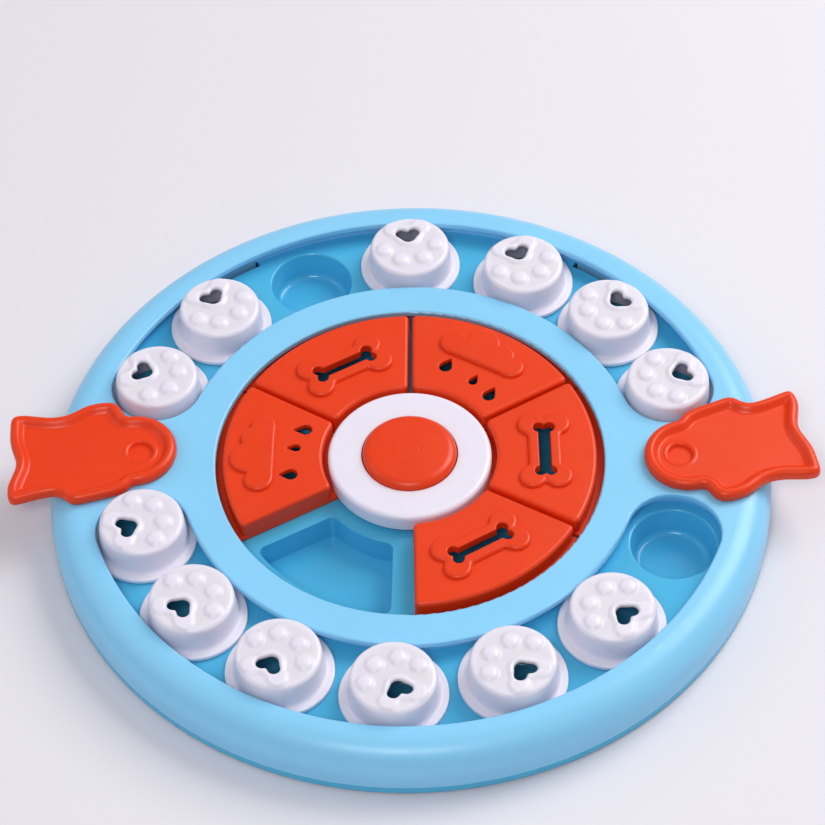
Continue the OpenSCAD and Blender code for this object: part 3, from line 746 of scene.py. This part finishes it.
def slider_mesh(name, relief, relief_box, holes):
    """A hollow sector with raised relief and holes through it."""
    def height(x, y):
        z = SLIDER_TOP - fall(-SLIDER_BODY(x, y), SLIDER_EDGE)
        z = z + bead(relief(x, y), RELIEF_HIGH, RELIEF_FOOT, RELIEF_SHOULDER)
        for hole in holes:
            z = z - fall(hole(x, y), HOLE_RIM)
        return z

    solid = Solid()
    outline = contours(SLIDER_BODY, 0, SLIDER_BOX, 0.7)
    loops = [offset(line, SLIDER_BODY, -inset)
             for line in outline for inset in (0.03, 0.12, 0.28, 0.5, 0.8, 1.15, 1.5)]
    for level in (0.25, 0.2, 0.1, -0.05, -0.25, -0.5, -0.8, -1.05, -1.3):
        loops += contours(relief, level, relief_box, 0.5)
    openings = []
    for hole in holes:
        edges = contours(hole, 0, relief_box, 0.3)
        loops += [offset(line, hole, out)
                  for line in edges for out in (0.04, 0.13, 0.26, 0.4, 0.55)]
        openings += edges
    solid.fill(outline + openings, height, loops)
    for loop in outline:
        solid.wall(loop, height(loop[:, 0], loop[:, 1]), FLANGE_Z)
    flange_line = contours(SLIDER_FLANGE, 0, SLIDER_BOX, 0.8)
    hollow_line = contours(SLIDER_HOLLOW, 0, SLIDER_BOX, 1.0)
    solid.fill(flange_line + outline, lambda x, y: FLANGE_Z)
    for loop in flange_line:
        solid.wall(loop, FLANGE_Z, SLIDE_Z)
    solid.fill(flange_line + hollow_line, lambda x, y: SLIDE_Z)
    for loop in hollow_line:
        solid.wall(loop, SLIDER_CEILING, SLIDE_Z)
    for loop in openings:
        solid.wall(loop, height(loop[:, 0], loop[:, 1]), SLIDER_CEILING)
    solid.fill(hollow_line + openings, lambda x, y: SLIDER_CEILING)
    return solid.welded(name, RED)


BONE_X = 52.2                    # the middle of a slider's bone
DROP_BLUNT, DROP_STEPS = 0.3, 40     # radius of a drop's tip, and points on its round end


def bone(knuckle_x, knuckle_y, knuckle_r, shank, k):
    """A bone across the slider: four knuckles round its middle, and a shank between them."""
    knuckles = [disc(BONE_X + sx * knuckle_x, sy * knuckle_y, knuckle_r)
                for sx in (-1, 1) for sy in (-1, 1)]
    return soft_union(k, slab(BONE_X, 0, shank, knuckle_y), *knuckles)


def drop(cx, cy, r, tip):
    """A drop of radius r whose sides meet at a blunt tip, about tip from its middle."""
    touch = math.acos(r / tip)
    angles = np.linspace(touch, 2 * math.pi - touch, DROP_STEPS)
    slim = r - DROP_BLUNT
    belly = np.stack([cx + slim * np.cos(angles), cy + slim * np.sin(angles)], 1)
    return polygon(np.vstack([[cx + tip * slim / r, cy], belly]), DROP_BLUNT)


bone_mesh = slider_mesh("bone_slider", bone(4.9, 13.0, 5.3, 6.3, 1.4), (38, -21, 66, 21),
                        [bone(2.0, 10.8, 2.2, 2.25, 0.6)])
cloud = soft_union(0.9, disc(57.9, 13, 5.5), disc(62.4, 2.4, 7.1), disc(60.6, -7.4, 5.1),
                   disc(57.2, -13.6, 4.9), slab(56.6, -0.3, 4.3, 14.5, 2.5))
drops = [drop(45.6, 10, 2.5, 4.9), drop(44.1, -3.2, 1.7, 4), drop(40.6, -12.3, 2.4, 5.2)]
cloud_mesh = slider_mesh("cloud_slider", cloud, (36, -22, 72, 22), drops)
for n, angle in enumerate(BONE_ANGLES, 1):
    place_piece(f"bone_piece_{n}", bone_mesh, f"bone_{n}", f"bone_slider_{n}", "red_plastic",
                about_z(angle))
for n, angle in enumerate(CLOUD_ANGLES, 1):
    place_piece(f"cloud_piece_{n}", cloud_mesh, f"cloud_{n}", f"cloud_slider_{n}", "red_plastic",
                about_z(angle))


# ---- Fish: the eye's pivot is at 0, 0 and the body lies along +X -------------

FISH_BODY = [
    (4, 15.4), (6.6, 18.0), (11, 19.6), (17.5, 20.6), (27.5, 22.2), (32.2, 16.6), (38, 16.7),
    (51.5, 19.3), (52.2, 12), (47.6, 0.5), (50.2, -11), (49.4, -23.3), (45, -24.0), (33.2, -20.9),
    (27, -21.4), (19, -25.7), (10.5, -26.2), (6.6, -23.8), (4.9, -17.9), (2, -15)]
FISH_HEAD = disc(2.4, -1.1, 16.4)
FISH_BOX = (-18, -31, 57, 27)
NOTCH_R, TIP_R = 1.4, 2.0        # the least radii of the outline's notches and of its tips
FISH_EDGE, FISH_UNDER_EDGE = 2.4, 0.5    # radii of the rim's edge, above and below
RIM_END, FLOOR_START = 2.6, 5.7  # how far in from the outline
FLOOR_Z = 24.3
EYE_R, EYE_DEEP, EYE_LIP = 4.9, 1.4, 0.35
EYE_STEPS, POST_STEPS = 64, 48
POST_R, POST_END, POST_BEVEL = 5.0, 17.0, 0.3
END_R = 1.2                      # a ring in the post's flat end


def fish_outline():
    """The fish's outline with round corners and round notches, like the CAD's."""
    sharp = soft_union(1.0, FISH_HEAD, polygon(rounded(FISH_BODY, 3.6)))
    grown = max(contours(sharp, NOTCH_R, FISH_BOX, 0.5), key=len)
    shrunk = max(contours(polygon(grown), -NOTCH_R - TIP_R, FISH_BOX, 0.5), key=len)
    return polygon(shrunk, TIP_R)


def fish_mesh(name, turn, pivot_x):
    """A fish with a raised rim and a post below its eye, turned and moved to its place."""
    shape = fish_outline()
    eye = disc(0, 0, EYE_R)

    def height(x, y):
        depth = -shape(x, y)
        slope_in = smooth(np.clip((depth - RIM_END) / (FLOOR_START - RIM_END), 0, 1))
        z = FISH_TOP - fall(depth, FISH_EDGE) - (FISH_TOP - FLOOR_Z) * slope_in
        lip = np.clip(1 - np.abs(eye(x, y) - 1.0), 0, 1)
        return z - rise(eye(x, y), EYE_DEEP, 0.1, 0.7) + EYE_LIP * smooth(lip)

    def belly(x, y):
        return FISH_UNDER + fall(-shape(x, y), FISH_UNDER_EDGE)

    solid = Solid()
    outline = contours(shape, 0, FISH_BOX, 0.6)
    loops = [offset(line, shape, -inset)
             for line in outline for inset in (0.03, 0.12, 0.28, 0.5, 0.8)]
    for inset in (1.15, 1.6, 2.1, 2.6, 3.0, 3.4, 3.8, 4.2, 4.6, 5.0, 5.4, 5.8):
        loops += contours(shape, -inset, FISH_BOX, 0.6)
    for grow in (2.0, 1.6, 1.3, 1.0, 0.7, 0.4, 0.1, -0.05, -0.2, -0.35, -0.5, -0.7):
        loops.append(ring(0, 0, EYE_R + grow, EYE_STEPS))
    solid.fill(outline, height, loops)
    for loop in outline:
        solid.wall(loop, height(loop[:, 0], loop[:, 1]), belly(loop[:, 0], loop[:, 1]))
    solid.fill([*outline, ring(0, 0, POST_R, POST_STEPS)], belly,
               [offset(line, shape, -inset) for line in outline for inset in (0.05, 0.18, 0.5)])
    solid.turned([(POST_R, FISH_UNDER), (POST_R, POST_END + POST_BEVEL),
                  (POST_R - POST_BEVEL, POST_END), (END_R, POST_END)], POST_STEPS)
    solid.fill([ring(0, 0, END_R, POST_STEPS)], lambda x, y: POST_END)
    c, s = math.cos(math.radians(turn)), math.sin(math.radians(turn))
    solid.points = [(pivot_x + c * x - s * y, s * x + c * y, z) for x, y, z in solid.points]
    return solid.welded(name, RED)


for side, at_angle in FISH_ANGLES.items():
    piece_name = f"fish_{side}_shell"
    shell = fish_mesh(piece_name, at_angle, FISH_PIVOT if side == "right" else -FISH_PIVOT)
    place_piece(piece_name, shell, f"{side}_fish", f"fish_{side}", "red_plastic")


# ---- Squeaker button ---------------------------------------------------------

AXIS_R = 0.15                    # where a turned body's profile starts and ends
BUTTON_STEPS, EDGE_STEPS = 128, 12
DOME_TOP, DOME_R, DOME_DROP = 27.0, 14.6, 0.34
MARK_R, MARK_HALF, MARK_DEEP = 4.2, 0.5, 0.06        # a faint ring on the dome
EDGE_Z, EDGE_WIDE, EDGE_HIGH = 23.3, 3.75, 3.36      # the round edge: foot, width and height
BUTTON_SKIRT = [
    (18.35, 21.2), (18.45, 21.1), (19.8, 21.1), (19.9, 21.0),         # flange
    (19.9, 19.2), (19.8, 19.1), (18.35, 19.1),
    (18.35, 18.1), (18.25, 18.0), (16.3, 18.0), (16.15, 18.15),       # skirt
    (16.15, 23.0), (6.5, 23.0), (6.5, 21.0), (AXIS_R, 21.0)]          # hollow and plunger


def button_mesh():
    """A turned profile: low dome, wide round edge, skirt with its flange, and the plunger."""
    profile = []
    for r in (AXIS_R, 1.5, 3, 3.7, 3.95, 4.2, 4.45, 4.7, 5.4, 7, 9, 11, 13, 14.2):
        mark = max(0, 1 - abs(r - MARK_R) / MARK_HALF)
        profile.append((r, DOME_TOP - DOME_DROP * (r / DOME_R) ** 2 - MARK_DEEP * mark))
    for k in range(EDGE_STEPS + 1):
        a = math.radians(90 * k / EDGE_STEPS)
        profile.append((DOME_R + EDGE_WIDE * math.sin(a), EDGE_Z + EDGE_HIGH * math.cos(a)))
    solid = Solid()
    solid.turned_body(profile + BUTTON_SKIRT, BUTTON_STEPS)
    return solid.welded("button", RED)


place_piece("squeaker_dome", button_mesh(), "button", "press_button", "red_plastic")


# ---- Squeaker bulb, squeezed by the button -----------------------------------

BULB_LOW, BULB_HIGH, BULB_SKIN = 4.5, 20.7, 1.2
FOLDS_TOP, FOLD_PITCH, FOLD_R, FOLD_DEEP = 18.0, 5.4, 12, 1.5
NECK_R, NECK_ROUND = 9.7, 0.8
MOUTH_R = 2                      # the hole in the foot
BULB_STEPS, FOLD_STEPS = 96, 46
PRESS_KEEP = 0.78                # the share of the bulb's height left when the button is down


def bulb_mesh():
    """A turned rubber bellows, open at the middle of its foot."""
    def wave(z):
        return FOLD_R + FOLD_DEEP * math.cos(2 * math.pi * (z - BULB_LOW) / FOLD_PITCH)

    steps = np.linspace(FOLDS_TOP, BULB_LOW, FOLD_STEPS)
    profile = [(AXIS_R, BULB_HIGH), (5, BULB_HIGH), (NECK_R, BULB_HIGH)]
    for a in np.radians((18, 36, 54, 72, 90)):
        profile.append((NECK_R + NECK_ROUND * math.sin(a),
                        BULB_HIGH - NECK_ROUND + NECK_ROUND * math.cos(a)))
    profile += [(wave(z), z) for z in steps]
    profile += [(MOUTH_R, BULB_LOW), (MOUTH_R, BULB_LOW + BULB_SKIN)]
    profile += [(wave(z) - BULB_SKIN, max(z, BULB_LOW + BULB_SKIN))
                for z in steps[::-1] if z > BULB_LOW + 1]
    profile += [(wave(FOLDS_TOP) - BULB_SKIN, BULB_HIGH - BULB_SKIN),
                (AXIS_R, BULB_HIGH - BULB_SKIN)]
    solid = Solid()
    solid.turned_body(profile, BULB_STEPS)
    return solid.welded("bulb", BULB)


bellows = place_piece("bellows_bulb", bulb_mesh(), "tray", "squeaker_bulb", "bulb")
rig.squash(bellows, "button_press", axis=(0, 0, 1), anchor=(0, 0, BULB_LOW * MM), keep=PRESS_KEEP)


# ---- Floor and light, in metres and watts ------------------------------------

GROUND_HALF, GROUND_PLACE = 6, (0, 0, -0.0002)
GROUND_COLOUR, GROUND_ROUGH = (231, 229, 234), 0.6
SKY_COLOUR, SKY_STRENGTH = (0.955, 0.935, 1.0, 1), 0.31


def make_floor():
    mesh = bpy.data.meshes.new("floor")
    work = bmesh.new()
    bmesh.ops.create_grid(work, x_segments=1, y_segments=1, size=GROUND_HALF)
    work.to_mesh(mesh)
    work.free()
    floor = bpy.data.objects.new("floor", mesh)
    scene.collection.objects.link(floor)
    floor.location = GROUND_PLACE
    mat = bpy.data.materials.new("floor")
    mat.use_nodes = True
    shader = mat.node_tree.nodes["Principled BSDF"]
    shader.inputs["Base Color"].default_value = (*linear(GROUND_COLOUR), 1)
    shader.inputs["Roughness"].default_value = GROUND_ROUGH
    mesh.materials.append(mat)
    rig.stage(floor)


def make_sky():
    world = bpy.data.worlds.new("world")
    scene.world = world
    world.use_nodes = True
    sky = world.node_tree.nodes["Background"]
    sky.inputs["Color"].default_value = SKY_COLOUR
    sky.inputs["Strength"].default_value = SKY_STRENGTH


def soft_box(name, place, size, power, colour=(1, 1, 1)):
    """A rectangular lamp that points at the middle of the object."""
    data = bpy.data.lights.new(name, "AREA")
    data.shape = "RECTANGLE"
    data.size, data.size_y = size
    data.energy = power
    data.color = colour
    lamp = bpy.data.objects.new(name, data)
    scene.collection.objects.link(lamp)
    aim = (-Vector(place)).to_track_quat("-Z", "Y").to_matrix().to_4x4()
    lamp.matrix_world = Matrix.Translation(place) @ aim


make_floor()
make_sky()
soft_box("key", (1.0, 0.85, 1.25), (1.1, 1.1), 18.1, (1, 0.985, 0.98))
soft_box("fill", (-1.3, 0.1, 1.0), (1.2, 1.2), 3.2, (0.97, 0.96, 1))
soft_box("front", (-0.1, -0.95, 1.3), (0.5, 0.35), 5.8)
scene.view_settings.view_transform = "Standard"
scene.view_settings.look = "Medium High Contrast"

visual_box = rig.bounds()
with open("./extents.json", "w") as out:
    json.dump({"cad": [list(map(float, v)) for v in cad_box], "visual": [list(map(float, v)) for v in visual_box]}, out)
